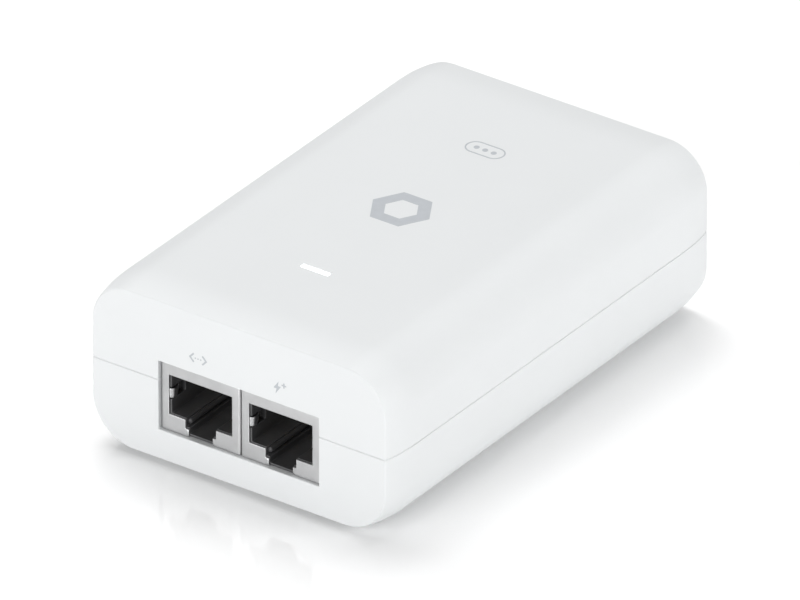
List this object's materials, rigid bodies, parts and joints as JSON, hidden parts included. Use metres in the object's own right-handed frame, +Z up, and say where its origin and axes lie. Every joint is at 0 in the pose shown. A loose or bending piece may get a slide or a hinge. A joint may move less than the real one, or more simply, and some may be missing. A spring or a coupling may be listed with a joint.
{
  "type": "poe injector",
  "caption": "White plastic power-over-ethernet injector box with two side-by-side shielded network jacks in one end, a mains inlet in the other and a status light on the roof.",
  "frame": {"origin": "middle of the underside, on the surface the box stands on", "axes": "+X to the right seen from the jack end, +Y along the length from the jack end to the mains inlet, +Z up"},
  "size_m": [0.06, 0.0912, 0.0314],
  "materials": {
    "case_plastic": "fine satin white",
    "jack_shield": "satin nickel plate",
    "jack_plastic": "satin black",
    "gold_contact": "gold flash",
    "nickel_pin": "bright nickel plate",
    "screw_steel": "zinc plate",
    "grey_ink": "flat grey pad print",
    "status_light": "clear diffusing light pipe",
    "led_body": "white with clear dome",
    "label_film": "blank silver-grey polyester film",
    "board_laminate": "green solder resist",
    "insulation_film": "clear polyester film",
    "inlet_plastic": "satin black",
    "fuse_case": "black moulding",
    "film_capacitor_case": "yellow moulding",
    "varistor_coat": "blue epoxy dip",
    "safety_capacitor_coat": "blue epoxy dip",
    "capacitor_sleeve": "black printed sleeve, bare top",
    "ferrite": "dark grey sintered ferrite",
    "enamelled_copper": "enamelled copper",
    "winding_tape": "yellow tape",
    "heatsink_aluminium": "mill finish",
    "chip_epoxy": "black moulding compound"
  },
  "bodies": {
    "injector": {"board_screw_front": "screw_steel", "board_screw_rear": "screw_steel", "bottom_cover": "case_plastic", "bridge_rectifier": "chip_epoxy", "bulk_capacitor": "capacitor_sleeve", "choke_coil_left": "enamelled_copper", "choke_coil_right": "enamelled_copper", "choke_core": "ferrite", "controller_chip": "chip_epoxy", "fixed_wires_data": "gold_contact", "fixed_wires_power": "gold_contact", "fuse": "fuse_case", "housing_data": "jack_plastic", "housing_power": "jack_plastic", "inlet_housing": "inlet_plastic", "insulation_sheet": "insulation_film", "light_pipe": "status_light", "main_board": "board_laminate", "mains_film_capacitor": "film_capacitor_case", "network_magnetics": "chip_epoxy", "optocoupler": "chip_epoxy", "output_capacitor_left": "capacitor_sleeve", "output_capacitor_right": "capacitor_sleeve", "output_inductor": "ferrite", "output_rectifier": "chip_epoxy", "pin_earth": "nickel_pin", "pin_line": "nickel_pin", "pin_neutral": "nickel_pin", "port_icons": "grey_ink", "power_switch": "chip_epoxy", "primary_heatsink": "heatsink_aluminium", "rating_label": "label_film", "roof_badge": "grey_ink", "roof_mark": "grey_ink", "safety_capacitor": "safety_capacitor_coat", "secondary_heatsink": "heatsink_aluminium", "shield_data": "jack_shield", "shield_power": "jack_shield", "status_led": "led_body", "top_cover": "case_plastic", "transformer_core": "ferrite", "transformer_winding": "winding_tape", "varistor": "varistor_coat"},
    "contacts_data": {"contact_data_1": "gold_contact", "contact_data_2": "gold_contact", "contact_data_3": "gold_contact", "contact_data_4": "gold_contact", "contact_data_5": "gold_contact", "contact_data_6": "gold_contact", "contact_data_7": "gold_contact", "contact_data_8": "gold_contact"},
    "contacts_power": {"contact_power_1": "gold_contact", "contact_power_2": "gold_contact", "contact_power_3": "gold_contact", "contact_power_4": "gold_contact", "contact_power_5": "gold_contact", "contact_power_6": "gold_contact", "contact_power_7": "gold_contact", "contact_power_8": "gold_contact"}
  },
  "joints": [
    {"name": "contacts_data_flex", "type": "hinge", "parent": "injector", "child": "contacts_data", "pos_m": [-0.00797, -0.04172, 0.01702], "axis": [1, 0, 0], "range_deg": [0, 12], "stiffness_Nm_per_rad": 0.4},
    {"name": "contacts_power_flex", "type": "hinge", "parent": "injector", "child": "contacts_power", "pos_m": [0.00797, -0.04172, 0.01702], "axis": [1, 0, 0], "range_deg": [0, 12], "stiffness_Nm_per_rad": 0.4}
  ]
}
